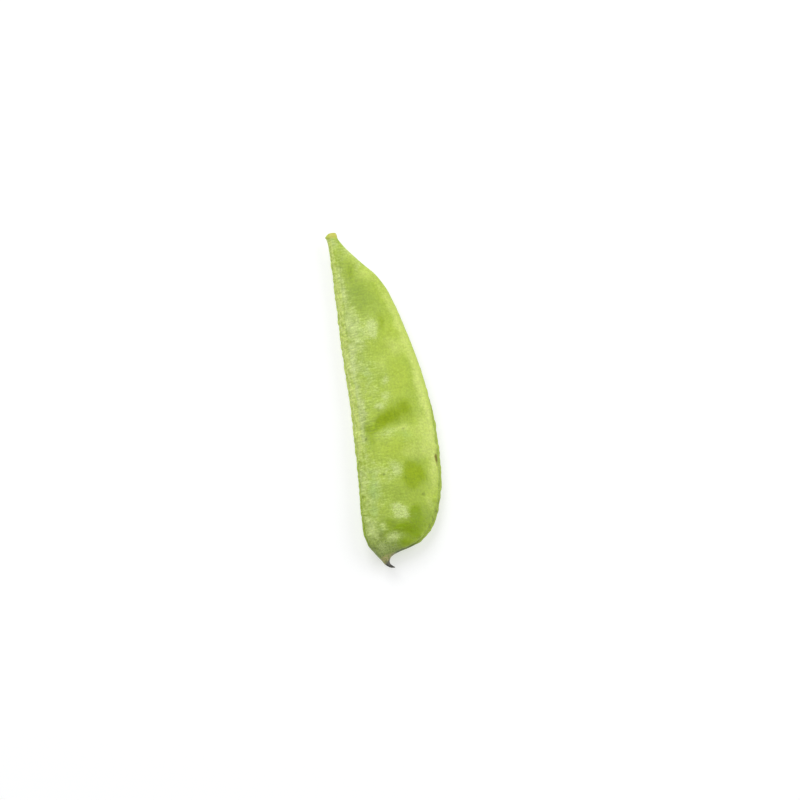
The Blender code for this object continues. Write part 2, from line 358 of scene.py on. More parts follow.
def cut_back(distance, angle):
    """How far the upper side of the stalk's end is broken back."""
    return CUT_BACK * (1 - ramp(distance, 0.0, CUT_OVER)) * (1 + np.sin(angle)) / 2


def fine_relief(place, share, angle, from_bowed, from_straight, rough):
    """How far the small relief stands out, with the beads of the seams this rough."""
    rises, full, fades, gone = GRANULES_ROUND_EDGE
    granular = ramp(from_straight, rises, full) * (1 - ramp(from_straight, fades, gone))
    granules = GRANULE_HEIGHT * np.maximum(0, grain(place, GRANULE_PITCH, GRANULE_SHIFT))
    granules += FINE_GRANULE_HEIGHT * grain(place, FINE_GRANULE_PITCH, FINE_GRANULE_SHIFT)
    lines = sum(depth * bump(from_straight - at, half_width) for at, half_width, depth in LINES)
    on_crest = bump(np.minimum(from_bowed, from_straight), BEAD_HALF_WIDTH)
    beads = rough * BEAD_HEIGHT * on_crest * grain(place, BEAD_PITCH, BEAD_SHIFT)
    notched = between(place[:, 0], *NOTCHED) * bump(from_bowed - NOTCH_AT, NOTCH_HALF_WIDTH)
    notches = NOTCH_DEPTH * notched * np.maximum(0, grain(place, NOTCH_PITCH, NOTCH_SHIFT))
    creased = 1 - CREASES_LOST * ramp(place[:, 1], *CREASES_FADE)
    uneven = FACE_UNEVEN * grain(place, FACE_UNEVEN_PITCH, UNEVEN_SHIFT)
    uneven += CREASE_HEIGHT * creased * grain(place * CREASE_SHAPE, CREASE_PITCH, CREASE_SHIFT)
    uneven *= np.sin(angle) ** 2
    ridges = HOOK_RIDGE_HEIGHT * np.cos(2 * HOOK_RIDGES * angle) * ramp(share, *HOOK_FROM)
    return seam_strength(share) * (granular * granules - lines + beads - notches + uneven) + ridges


def leaned(ring, lean_deg, lift):
    """A ring turned in its own plane and lifted."""
    c, s = math.cos(math.radians(lean_deg)), math.sin(math.radians(lean_deg))
    return ring @ np.array([[c, s], [-s, c]]) + np.array([0.0, lift])


def pod_grid():
    """The rings' points as (distance, offset, height), and the facts that the marks depend on there."""
    shares, quarter = ring_shares(), quarter_points()
    tables = np.column_stack([THICKNESS, SQUARENESS, LIFT, LEAN_DEG])
    bowed, straight = margin_at(BOWED_MARGIN, shares), margin_at(STRAIGHT_MARGIN, shares)
    rings, facts = [], []
    for share, b, s, row in zip(shares, bowed, straight, smooth(SHARES, tables, shares)):
        thickness, squareness, lift, lean_deg = row
        middle, half_width = (b + s) / 2, np.linalg.norm(b - s) / 2
        sideways = (b - s) / 2 / half_width
        angle, across = section(squareness, quarter)
        up = np.sin(angle) * (1 - BOWED_THINNER * across)
        ring = np.column_stack([half_width * across, thickness / 2 * up])

        distance, offset = (middle + ring[:, :1] * sideways).T
        place = np.column_stack([distance, offset, ring[:, 1]])
        under = 1 - ramp(distance.mean(), *TURNS_UP)
        from_bowed, from_straight = from_crests(ring, TURNED_UNDER * under)
        rough = 1 - BOWED_SMOOTHER * under * (from_bowed < from_straight)
        relief = seam_relief(np.minimum(from_bowed, from_straight), share, thickness, place, rough)
        relief += face_relief(distance, offset, angle) + stalk_relief(distance, angle)
        relief += fine_relief(place, share, angle, from_bowed, from_straight, rough)
        relief += worn_stalk(distance, angle) - thinned_hook(distance, angle)
        ring = leaned(ring + outward(ring) * relief[:, None], lean_deg, lift)
        seen_above = middle + ring[:, :1] * sideways
        seen_above[:, 0] += cut_back(distance, angle)
        seen_above[:, 1] -= HOOK_OUTWARDS * ramp(distance, *HOOK_THINS)
        rings.append(np.column_stack([seen_above, ring[:, 1]]))

        inside = half_width * np.column_stack([1 - across, 1 + across])
        everywhere = np.full(len(angle), share)
        facts.append(np.column_stack([place, inside, from_bowed, from_straight, angle, everywhere]))
    return rings, facts


def scar_rings(rim):
    """The smaller rings inside the stalk's broken end, from its rim inwards, and the scar's middle point."""
    centre, inwards = rim.mean(axis=0), np.array([1.0, 0.0, 0.0])
    rings = [centre + (rim - centre) * size + inwards * depth for size, depth in SCAR_RINGS]
    return rings, centre + inwards * SCAR_DEPTH


def settled(points):
    """The points in the part's frame, with the underside pressed flat where it rests."""
    distance, offset, height = points.T
    raised = np.maximum(height - height.min() - FLAT_DEPTH, 0)
    return np.column_stack([offset + LINE_X, END_Y - distance, raised])


def lofted(points, rings, count):
    """A closed mesh of this many rings of points, whose first and last points close its ends."""
    loops = 1 + np.arange(rings * count).reshape(rings, count)
    following = np.roll(loops, -1, axis=1)
    sides = np.stack([loops[:-1], following[:-1], following[1:], loops[1:]], axis=-1).reshape(-1, 4)
    last = rings * count + 1
    faces = [(0, b, a) for a, b in zip(loops[0].tolist(), following[0].tolist())]
    faces += sides.tolist()
    faces += [(last, a, b) for a, b in zip(loops[-1].tolist(), following[-1].tolist())]
    mesh = bpy.data.meshes.new("pod_skin")
    mesh.from_pydata((points * MM).tolist(), [], faces)
    mesh.shade_smooth()
    return mesh


# Where the colours change, as (distance, offset, half across, half along, strength). Deep places are painted
# shade, the clear dark green of sunken places; dull is a greyer green, fresh the bright yellow green between
# them, light a paler green that is partly painted light on swellings, the neck and the shoulder, cool a
# bluish one, pale the painted highlights on slopes towards the stalk, and waxy the whitish bloom along the
# straight side, wax with painted sheen on it. Wrinkled is where the creases are strongest. Specks are small
# and dark, and the blemish is a bruise on the bowed margin.
SUNKEN_SHADE = (
    (14.5, 3.0, 1.9, 4.2, 0.7),
    (33.5, 9.2, 1.3, 4.0, 0.6),
    (60.8, 10.6, 3.0, 2.0, 0.4),
    (62.6, 12.6, 2.2, 3.0, 0.45),
    (62.6, 10.0, 2.8, 3.0, 0.45),
    (64.0, 6.6, 2.4, 2.8, 0.75),
    (65.4, 3.6, 2.2, 2.3, 1.1),
    (67.0, -0.2, 1.3, 1.6, 0.5),
    (67.6, 1.2, 1.6, 1.2, 0.8),
    (71.0, 0.0, 1.3, 3.6, 0.7),
    (80.0, 9.8, 3.0, 2.2, 0.5),
    (83.2, 9.6, 4.0, 3.0, 0.9),
    (84.8, 10.4, 3.4, 2.2, 0.7),
    (87.0, 8.0, 3.0, 2.4, 0.4),
    (95.6, 7.2, 1.6, 1.8, 0.9),
    (96.0, 8.6, 1.8, 2.8, 1.0),
    (97.0, 0.5, 1.6, 1.4, 0.45),
    (97.5, 11.2, 1.8, 3.0, 0.2),
    (99.3, 3.2, 2.6, 1.4, 0.8),
    (100.6, 7.0, 2.6, 2.0, 1.1),
    (103.4, 2.2, 2.8, 1.0, 1.0),
)
DULL = (
    (11.5, 0.6, 1.5, 3.4, 0.7),
    (21.4, 3.8, 4.0, 4.4, 0.95),
    (27.0, 4.6, 3.4, 3.4, 0.4),
    (69.6, -1.0, 2.6, 3.0, 0.25),
)
FRESH = (
    (38.5, 10.5, 3.2, 9.0, 0.7),
    (52.0, 11.6, 3.1, 8.5, 0.85),
    (72.5, 9.0, 4.0, 2.6, 0.5),
    (75.2, 5.0, 4.2, 3.0, 1.0),
    (88.0, 12.0, 3.0, 4.0, 0.4),
)
PALER_AND_LIT = (
    (9.5, 4.0, 1.8, 4.2, 0.6),
    (15.8, 8.0, 3.0, 3.8, 0.75),
    (21.0, 10.6, 1.6, 3.2, 0.35),
    (41.5, 12.5, 3.6, 4.0, 0.8),
    (47.5, 6.8, 2.0, 4.0, 0.6),
    (67.6, 15.8, 2.0, 3.6, 0.95),
    (68.6, 9.4, 2.6, 1.4, 0.8),
    (70.6, 12.8, 3.0, 2.4, 0.5),
    (71.0, 16.8, 1.6, 3.6, 0.6),
    (76.0, 12.4, 3.8, 3.4, 0.6),
    (76.0, 15.4, 1.6, 4.0, 0.5),
    (76.4, 8.8, 2.0, 1.6, 0.3),
    (85.2, 15.6, 1.8, 4.0, 0.7),
    (90.0, 13.4, 1.8, 3.0, 0.4),
    (93.2, 13.4, 1.6, 2.0, 0.4),
)
COOL = (
    (35.0, 2.8, 1.4, 3.4, 0.5),
    (50.0, 2.0, 2.8, 7.0, 0.5),
    (69.4, 5.4, 2.6, 1.8, 0.5),
    (71.4, 10.4, 3.0, 2.6, 0.6),
    (72.6, -1.0, 1.8, 2.6, 0.5),
    (82.0, -2.0, 2.6, 3.0, 0.6),
    (87.0, -2.6, 2.4, 2.6, 1.0),
    (93.0, -3.6, 1.8, 3.0, 0.7),
    (98.6, -2.6, 1.6, 1.2, 0.6),
)
PAINTED_HIGHLIGHTS = (
    (34.9, 6.1, 1.5, 3.1, 1.4),
    (37.6, 5.0, 1.6, 1.4, 0.5),
    (38.6, 1.8, 1.8, 0.9, 0.7),
    (39.0, -1.6, 1.0, 3.0, 0.2),
    (46.0, -1.8, 1.0, 3.4, 1.3),
    (52.6, 7.2, 1.3, 1.8, 0.75),
    (57.8, 6.4, 1.8, 1.6, 0.8),
    (60.6, 4.4, 1.6, 1.2, 0.9),
    (68.8, 7.0, 1.4, 1.0, 0.5),
    (69.9, 4.5, 2.3, 1.5, 0.75),
    (81.2, 5.0, 2.2, 2.7, 0.95),
    (92.4, 1.0, 1.1, 1.3, 0.3),
    (93.2, 13.8, 0.9, 1.4, 0.3),
    (93.9, 3.8, 1.9, 2.1, 2.0),
    (96.0, 5.2, 1.2, 0.9, 0.8),
    (101.4, 1.0, 2.3, 1.4, 1.0),
    (104.0, -2.6, 1.1, 1.1, 0.25),
)
WAX_AND_SHEEN = (
    (3.8, -1.0, 1.3, 2.8, 0.6),
    (7.5, 2.6, 1.8, 4.0, 0.6),
    (11.5, 5.4, 1.4, 3.2, 0.5),
    (19.0, -0.6, 1.5, 8.5, 0.7),
    (23.0, 0.8, 1.6, 5.0, 0.3),
    (33.0, 0.2, 2.6, 5.0, 0.85),
    (34.5, 3.6, 1.8, 4.0, 0.4),
    (41.0, 1.0, 3.4, 2.6, 0.45),
    (43.0, -1.6, 1.4, 6.0, 0.75),
    (48.0, 1.6, 3.6, 5.0, 0.4),
    (53.0, -2.2, 1.2, 7.0, 0.95),
    (55.5, 2.0, 4.0, 5.0, 0.3),
    (62.0, -1.8, 1.8, 4.5, 1.0),
    (68.0, -2.8, 1.5, 5.0, 0.8),
    (75.0, -3.6, 1.8, 4.0, 0.2),
    (80.0, -1.5, 3.8, 5.0, 0.35),
    (83.0, 1.8, 3.0, 4.0, 0.25),
    (84.0, -5.2, 1.4, 6.0, 0.6),
    (87.0, -2.5, 3.0, 3.5, 0.15),
    (91.5, -2.5, 3.2, 4.5, 0.35),
    (94.0, -6.0, 1.4, 5.0, 0.25),
    (98.8, -5.0, 1.8, 3.6, 0.75),
    (98.4, -2.0, 1.6, 1.8, 0.5),
    (102.4, 8.8, 1.5, 1.8, 0.5),
    (104.5, -2.6, 1.6, 2.0, 0.8),
)
WRINKLED = ((36.0, 0.0, 2.0, 4.0, 0.6), (65.0, 0.0, 2.2, 4.5, 1.0), (98.0, 4.0, 4.0, 3.0, 0.7))
SPECKS = (
    (68.8, 9.6, 0.4, 0.3, 0.6),
    (70.2, -1.8, 0.4, 0.5, 0.9),
    (80.8, -2.4, 0.35, 0.35, 0.5),
    (82.3, 1.2, 0.4, 0.4, 0.8),
    (89.9, 11.8, 0.4, 0.4, 0.8),
    (92.0, 16.0, 0.35, 0.6, 0.6),
    (94.8, 14.8, 0.35, 0.6, 0.6),
    (97.4, 13.4, 0.3, 0.5, 0.6),
    (99.4, 12.0, 0.3, 0.4, 0.5),
    (100.8, -2.8, 0.7, 1.6, 0.5),
)
BLEMISH = ((78.9, 17.8, 0.5, 1.2, 1.2), (80.8, 17.5, 0.3, 2.4, 0.5))
# Fine dark lines of painted shade seen from above: how far inside the straight margin, half width and
# strength.
SHADE_LINES = ((1.35, 0.2, 0.35), (2.4, 0.22, 0.05))

# The marks' places wander over the faces, and waver more finely along the margins: by how much, at which
# pitch, and with which shifts of the noise.
WANDER, WANDER_PITCH, WANDER_SHIFTS = 0.9, 4.0, (11.0, 17.0)
WAVER, WAVER_PITCH, WAVER_SHIFT = 0.35, 1.4, 23.0
# Marks of the upper face alone fade over this share of the height, to each side of the margin. The painted
# shade of deep places has this strength below, and is stronger above by this.
ABOVE_SOFT, SUNKEN_SHADE_BELOW, SUNKEN_SHADE_STRONGER = 0.2, 0.45, 0.55

# In the next lines, two numbers are where a mark starts or ends and where that is complete, and three are
# where it starts and ends and how soft its ends are. An edge is counted inwards from the margin.
# The painted shade of deep places is darker still towards the tip.
SUNKEN_SHADE_END_STARTS = (86.0, 97.0)
# The dull green that grows towards the tip is painted shade.
DULL_END_SHADE, DULL_END_STARTS = 0.7, (88.0, 99.0)
# The band is a paler green along the bowed margin, partly the thin margin's paler tissue and partly a painted
# highlight on its rounding.
BAND_PARTS, BAND_EDGE = ((0.75, (21.0, 86.0, 16.0)), (0.25, (45.0, 80.0, 16.0))), (0.6, 5.0)
RIM_STRENGTH, RIM_STARTS, RIM_EDGE = 0.55, (10.0, 24.0), (0.3, 1.7)
RIM_STRONGER, RIM_FULL = 0.45, (58.0, 102.0, 16.0)
# The outline is a thin olive line at the bowed margin's very edge, painted shade of its side.
OUTLINE_STRENGTH, OUTLINED, OUTLINE_EDGE = 0.2, (18.0, 97.0, 12.0), (0.05, 0.35)
# The strip is a pale green along the straight margin, partly the ridge's own paler green and partly painted
# light on the ridge.
STRIP_WIDTH, STRIP_WIDER, STRIP_WIDENS, STRIP_SOFT = 0.5, 0.6, (8.0, 22.0), 1.4
STRIP_STARTS, STRIP_ENDS = (0.5, 5.0), (71.0, 81.0)
TIP_STARTS, TIP_ACROSS = (99.0, 104.5), (0.0, 4.5)
# The dark line at the tip, painted shade of its underside, lies this far above the bowed margin's crest.
TIP_LINE_AT, TIP_LINE_HALF_WIDTH, TIP_LINED = 0.4, 0.7, (103.9, 106.8, 1.8)
STALK_ENDS, CURL_SPARED_HALF_ANGLE = (1.7, 2.8), 0.7
# These two are shares of the pod's length.
HOOK_BASE, DRY_STARTS = (0.954, 0.975, 0.008), (0.964, 0.982)


def covered(table, distance, offset):
    """How far the places in a table cover each point, from 0 to 1."""
    return np.clip(spots(table, distance, offset), 0, 1)


def face_marks(distance, offset, at, side, above):
    """The marks of the faces, most of them at distances and offsets that wander."""
    # Painted shade in sunken places, weaker below.
    sunken_shade = covered(SUNKEN_SHADE, at, side) * (SUNKEN_SHADE_BELOW + SUNKEN_SHADE_STRONGER * above)
    return {
        "sunken_shade": sunken_shade,
        "sunken_shade_end": sunken_shade * ramp(distance, *SUNKEN_SHADE_END_STARTS),
        "fresh": covered(FRESH, at, side),
        # A paler green, partly painted light on swellings, the neck and the shoulder.
        "light": covered(PALER_AND_LIT, at, side),
        "cool": covered(COOL, at, side),
        # Painted highlights on slopes towards the stalk, on the upper face.
        "pale": covered(PAINTED_HIGHLIGHTS, at, side) * above,
        # Whitish wax bloom along the straight side, with painted sheen on it.
        "waxy": covered(WAX_AND_SHEEN, at, side),
        # Dull green at the listed places, and painted shade towards the tip.
        "dull": np.clip(spots(DULL, at, side) + DULL_END_SHADE * ramp(distance, *DULL_END_STARTS), 0, 1),
        "creased": 1 - CREASES_LOST * ramp(offset, *CREASES_FADE) + spots(WRINKLED, at, side),
        "blemish": covered(BLEMISH, distance, offset) * above,
        "speck": covered(SPECKS, distance, offset) * above,
    }


def margin_marks(facts, side, above):
    """The marks along the two margins."""
    place, (distance, offset) = facts[:, :3], facts[:, :2].T
    inside_bowed, inside_straight, from_bowed, from_straight, _, share = facts[:, 3:].T
    wavering = WAVER * grain(place, WAVER_PITCH, WAVER_SHIFT)
    seam = seam_strength(share)
    lines = [much * bump(inside_straight + wavering - a, half) for a, half, much in SHADE_LINES]
    band_strength = sum(much * between(distance, *stretch) for much, stretch in BAND_PARTS)
    rim_strength = RIM_STRENGTH * ramp(distance, *RIM_STARTS) + RIM_STRONGER * between(distance, *RIM_FULL)
    outline_strength = OUTLINE_STRENGTH * between(distance, *OUTLINED)
    strip_width = STRIP_WIDTH + STRIP_WIDER * ramp(distance, *STRIP_WIDENS)
    strip = 1 - ramp(inside_straight + wavering, strip_width, strip_width + STRIP_SOFT)
    tip_shade_line = bump(from_bowed - TIP_LINE_AT * above, TIP_LINE_HALF_WIDTH)
    return {
        "band": (1 - ramp(inside_bowed + offset - side, *BAND_EDGE)) * band_strength * above,
        "rim": (1 - ramp(inside_bowed + wavering, *RIM_EDGE)) * rim_strength,
        # Painted shade along the bowed margin's very edge.
        "edge_shade": (1 - ramp(inside_bowed, *OUTLINE_EDGE)) * outline_strength,
        "strip": strip * ramp(distance, *STRIP_STARTS) * (1 - ramp(distance, *STRIP_ENDS)),
        # Painted shade in the seams' grooves.
        "groove": bump(np.minimum(from_bowed, from_straight) - GROOVE_AT, GROOVE_HALF_WIDTH) * seam,
        # Painted shade: fine dark lines inside the straight margin.
        "line": sum(lines) * seam * above,
        "tip_shade_line": tip_shade_line * between(distance, *TIP_LINED),
    }


def end_marks(distance, offset, angle, share):
    """The marks of the stalk's end, the tip and the hook."""
    far_from_curl = 1 - bump(angle - math.pi, CURL_SPARED_HALF_ANGLE)
    return {
        "tip": ramp(distance, *TIP_STARTS) * (1 - ramp(offset, *TIP_ACROSS)),
        "hook_base": between(share, *HOOK_BASE),
        "dry": ramp(share, *DRY_STARTS),
        "stalk": (1 - ramp(distance, *STALK_ENDS)) * far_from_curl,
    }


def marks(facts, in_scar):
    """What the material reads at each point of the skin, by name."""
    place, (distance, offset) = facts[:, :3], facts[:, :2].T
    angle, share = facts[:, -2:].T
    above = ramp(np.sin(angle), -ABOVE_SOFT, ABOVE_SOFT)
    along, across = (WANDER * grain(place, WANDER_PITCH, shift) for shift in WANDER_SHIFTS)
    at, side = distance + along, offset + across
    return {
        **face_marks(distance, offset, at, side, above),
        **margin_marks(facts, side, above),
        **end_marks(distance, offset, angle, share),
        "scar": in_scar,
    }


# The colour sockets of a mix node, which has others of the same names.
MIX_UNDER, MIX_TOP, MIX_RESULT = 6, 7, 2


class Nodes:
    """Short ways to add the nodes of one material."""

    def __init__(self, material):
        material.use_nodes = True
        self.tree = material.node_tree
        self.shader = self.tree.nodes["Principled BSDF"]

    def add(self, kind, inputs=(), **settings):
        """A new node of this kind, with its inputs and settings given by name."""
        node = self.tree.nodes.new(kind)
        for name, value in settings.items():
            setattr(node, name, value)
        for name, value in dict(inputs).items():
            self.feed(node.inputs[name], value)
        return node

    def feed(self, socket, value):
        """Gives a socket its value, or links it to another node's output."""
        if isinstance(value, bpy.types.NodeSocket):
            self.tree.links.new(value, socket)
        else:
            socket.default_value = value

    def mark(self, name):
        """The mark of this name at each point of the skin."""
        return self.add("ShaderNodeAttribute", attribute_name=name).outputs["Fac"]

    def vector(self, name):
        """The three numbers of this name at each point of the skin."""
        return self.add("ShaderNodeAttribute", attribute_name=name).outputs["Vector"]

    def noise(self, vector, scale, detail=3.0, roughness=0.55):
        """A pattern of smooth noise, mostly from 0.3 to 0.7."""
        inputs = {"Vector": vector, "Scale": scale, "Detail": detail, "Roughness": roughness}
        return self.add("ShaderNodeTexNoise", inputs).outputs["Fac"]

    def stretched(self, vector, factors):
        """The vector with each of its numbers scaled by its own factor."""
        return self.add("ShaderNodeMapping", {"Vector": vector, "Scale": factors}).outputs["Vector"]

    def math(self, operation, a, b):
        node = self.add("ShaderNodeMath", operation=operation)
        self.feed(node.inputs[0], a)
        self.feed(node.inputs[1], b)
        return node.outputs[0]

    def times(self, a, b):
        return self.math("MULTIPLY", a, b)

    def plus(self, a, b):
        return self.math("ADD", a, b)

    def rise(self, value, low, high, start=0.0, end=1.0):
        """A smooth change from start to end while the value goes from low to high."""
        inputs = {"Value": value, "From Min": low, "From Max": high, "To Min": start, "To Max": end}
        return self.add("ShaderNodeMapRange", inputs, interpolation_type="SMOOTHSTEP").outputs["Result"]

    def over(self, colour, share, top, kind="MIX"):
        """The colour with another laid over it, by this share."""
        node = self.add("ShaderNodeMix", data_type="RGBA", blend_type=kind)
        self.feed(node.inputs["Factor"], share)
        self.feed(node.inputs[MIX_UNDER], colour)
        self.feed(node.inputs[MIX_TOP], top)
        return node.outputs[MIX_RESULT]


def screen(red, green, blue):
    """A colour given as a screen shows it, from 0 to 255, turned into light by the standard curve."""
    share = np.array([red, green, blue]) / 255
    linear = np.where(share <= 0.04045, share / 12.92, ((share + 0.055) / 1.055) ** 2.4)
    return (*(float(x) for x in linear), 1.0)


BODY_GREEN = screen(164, 188, 70)
YELLOW_GREEN = screen(173, 196, 68)
FRESH_GREEN = screen(175, 197, 68)
# A paler green, partly painted light.
PALER_AND_LIT_GREEN = screen(194, 212, 102)
COOL_GREEN = screen(162, 192, 104)
DULL_GREEN = screen(140, 165, 52)
# The deep green is the pod's own tone in random patches and painted shade in sunken places; the streak and
# the darker end are painted shade only.
DARK_TONE_AND_SHADE_GREEN = screen(144, 169, 4)
SUNKEN_SHADE_STREAK = screen(124, 152, 6)
SUNKEN_SHADE_END_GREEN = screen(128, 158, 0)
# The whitish bloom along the straight side: wax, with painted sheen.
WAX_AND_SHEEN_GREEN = screen(187, 204, 122)
WAX_AND_SHEEN_WHITE = screen(216, 229, 138)
WAX_FLECK = screen(148, 177, 70)
# Painted highlights: a pale green, with white grains in it.
HIGHLIGHT_GREEN = screen(196, 213, 132)
HIGHLIGHT_WHITE = screen(219, 231, 162)
# Paler margin tissue with a painted highlight.
BAND_AND_HIGHLIGHT_GREEN = screen(203, 219, 114)
RIM_GREEN = screen(174, 197, 76)
# Painted shade at the bowed margin's edge.
EDGE_SHADE_OLIVE = screen(126, 140, 74)
# The straight margin's pale ridge, partly painted light.
STRIP_AND_HIGHLIGHT_GREEN = screen(200, 216, 118)
STRIP_DARK = screen(164, 188, 66)
# Painted shade in the seams' grooves.
GROOVE_SHADE_GREEN = screen(122, 146, 44)
TIP_GREEN = screen(146, 162, 92)
TIP_DARK = screen(106, 122, 66)
# Painted shade under the tip's margin.
TIP_SHADE_LINE = screen(80, 92, 56)
DRY_BROWN = screen(106, 102, 94)
DRY_DARK = screen(68, 69, 68)
DRY_OCHRE = screen(170, 157, 112)
STALK_OCHRE = screen(202, 199, 94)
SCAR_OCHRE = screen(206, 188, 104)
BRUISE_BROWN = screen(112, 100, 20)
SPECK_GREEN = screen(92, 108, 34)


# Most of a noise's values lie in this range. The grains and creases lighten and darken the colours this much.
MIDRANGE, GRAIN_SHADE, CREASE_SHADE = (0.3, 0.7), (0.89, 1.09), 0.1
# The gloss is duller where the pod is dry. Some light goes into the skin: how much of it, the shares of its
# reach for red, green and blue, and that reach in metres.
ROUGHNESS, DRY_ROUGHER, SPECULAR = (0.34, 0.5), 0.25, 0.25
SUBSURFACE, SUBSURFACE_RADIUS, SUBSURFACE_SCALE = 0.1, (0.6, 0.8, 0.2), 0.001
# The finest relief: how much each of its three patterns counts, its strength, and its height in metres.
BUMP_ACROSS, BUMP_GRAINS, BUMP_FINE = 0.4, 0.6, 0.4
BUMP_STRENGTH, BUMP_HEIGHT = 0.5, 0.00015


class Grain:
    """The fine patterns that break up the skin's colours, gloss and relief."""

    def __init__(self, n):
        place, edges = n.vector("place"), n.vector("edges")
        self.broad = n.noise(place, 0.16, 3.0)
        self.patches = n.noise(place, 0.5, 3.0)
        self.grains = n.noise(place, 1.7, 2.0, 0.65)
        self.fine = n.noise(place, 3.6, 2.0, 0.65)
        self.across = n.noise(n.stretched(place, (1.9, 0.4, 0.6)), 1.0, 3.0, 0.6)
        self.along = n.noise(n.stretched(edges, (0.3, 1.9, 1.9)), 1.0, 3.0, 0.6)
        self.lengthwise = n.noise(n.stretched(place, (0.35, 1.7, 1.0)), 1.0, 3.0, 0.6)
        self.strokes = n.plus(n.times(self.across, 0.6), n.times(self.grains, 0.4))


def skin_colour(n, g):
    """The colour of the skin: its greens, and then its marks, one over the other."""

    def ragged(mark, patch_reach, stroke_reach, low, high, most=1.0):
        """A mark whose edge wanders with the patches and breaks up into strokes."""
        patches = n.times(n.plus(g.patches, -0.5), patch_reach)
        strokes = n.times(n.plus(g.strokes, -0.5), stroke_reach)
        return n.rise(n.plus(n.mark(mark), n.plus(patches, strokes)), low, high, 0.0, most)

    def where(mark, pattern, low, high, least, most):
        """A mark where a pattern rises from low to high."""
        return n.times(n.mark(mark), n.rise(pattern, low, high, least, most))

    layers = (
        (n.rise(g.broad, 0.35, 0.65), YELLOW_GREEN),
        (n.times(n.mark("dull"), 0.9), DULL_GREEN),
        (n.mark("fresh"), FRESH_GREEN),
        (n.rise(g.patches, 0.5, 0.75, 0.0, 0.3), DARK_TONE_AND_SHADE_GREEN),
        # Partly painted light: a paler green on swellings, the neck and the shoulder.
        (ragged("light", 0.5, 0.3, 0.1, 1.0), PALER_AND_LIT_GREEN),
        # Partly painted highlight on the bowed margin's rounding.
        (ragged("band", 0.6, 0.3, 0.1, 0.9), BAND_AND_HIGHLIGHT_GREEN),
        # Wax bloom with painted sheen.
        (ragged("waxy", 0.9, 1.1, 0.1, 0.95), WAX_AND_SHEEN_GREEN),
        (ragged("cool", 0.5, 0.6, 0.2, 1.0, 0.7), COOL_GREEN),
        # Partly painted light on the straight margin's ridge.
        (ragged("strip", 0.5, 0.8, 0.2, 0.9), STRIP_AND_HIGHLIGHT_GREEN),
        (where("strip", g.along, 0.48, 0.62, 0.0, 0.65), STRIP_DARK),
        # Whiter strokes of wax bloom and painted sheen.
        (where("waxy", g.strokes, 0.52, 0.68, 0.0, 0.6), WAX_AND_SHEEN_WHITE),
        (where("waxy", g.strokes, 0.34, 0.47, 0.5, 0.0), WAX_FLECK),
        # Painted shade: the dark green of sunken places, darker towards the tip, with streaks.
        (ragged("sunken_shade", 0.5, 0.5, 0.1, 0.95), DARK_TONE_AND_SHADE_GREEN),
        (where("sunken_shade_end", g.strokes, 0.35, 0.6, 0.5, 1.0), SUNKEN_SHADE_END_GREEN),
        (where("sunken_shade", g.lengthwise, 0.52, 0.66, 0.0, 0.7), SUNKEN_SHADE_STREAK),
        # Painted shade: fine dark lines inside the straight margin.
        (where("line", g.grains, 0.4, 0.6, 0.0, 0.7), WAX_FLECK),
        # Painted shade in the seams' grooves.
        (n.times(n.mark("groove"), 0.4), GROOVE_SHADE_GREEN),
        (where("rim", g.grains, 0.3, 0.6, 0.5, 1.0), RIM_GREEN),
        (where("tip", g.grains, 0.3, 0.7, 0.5, 1.0), TIP_GREEN),
        (where("tip", g.along, 0.5, 0.66, 0.0, 1.0), TIP_DARK),
        # Painted highlights on slopes towards the stalk, with white grains.
        (ragged("pale", 0.8, 1.5, 0.1, 1.3, 0.8), HIGHLIGHT_GREEN),
        (where("pale", g.fine, 0.5, 0.66, 0.0, 0.7), HIGHLIGHT_WHITE),
        # Painted shade at the bowed margin's edge.
        (where("edge_shade", g.grains, 0.3, 0.6, 0.5, 1.0), EDGE_SHADE_OLIVE),
        # Painted shade under the tip's margin.
        (where("tip_shade_line", g.grains, 0.3, 0.6, 0.6, 1.0), TIP_SHADE_LINE),
        (n.mark("speck"), SPECK_GREEN),
        (ragged("blemish", 0.3, 0.6, 0.1, 1.0, 0.9), BRUISE_BROWN),
        (where("stalk", g.grains, 0.3, 0.7, 0.7, 1.0), STALK_OCHRE),
        (n.mark("scar"), SCAR_OCHRE),
        (n.mark("dry"), n.over(DRY_BROWN, n.rise(g.along, 0.4, 0.6), DRY_DARK)),
        (where("hook_base", g.grains, 0.4, 0.6, 0.2, 0.9), DRY_OCHRE),
    )
    colour = BODY_GREEN
    for share, top in layers:
        colour = n.over(colour, share, top)
    creases = n.times(n.mark("creased"), n.rise(g.across, *MIDRANGE, -CREASE_SHADE, CREASE_SHADE))
    shade = n.plus(n.rise(g.grains, *MIDRANGE, *GRAIN_SHADE), creases)
    grey = n.add("ShaderNodeCombineColor", {"Red": shade, "Green": shade, "Blue": shade}).outputs["Color"]
    return n.over(colour, 1.0, grey, "MULTIPLY")


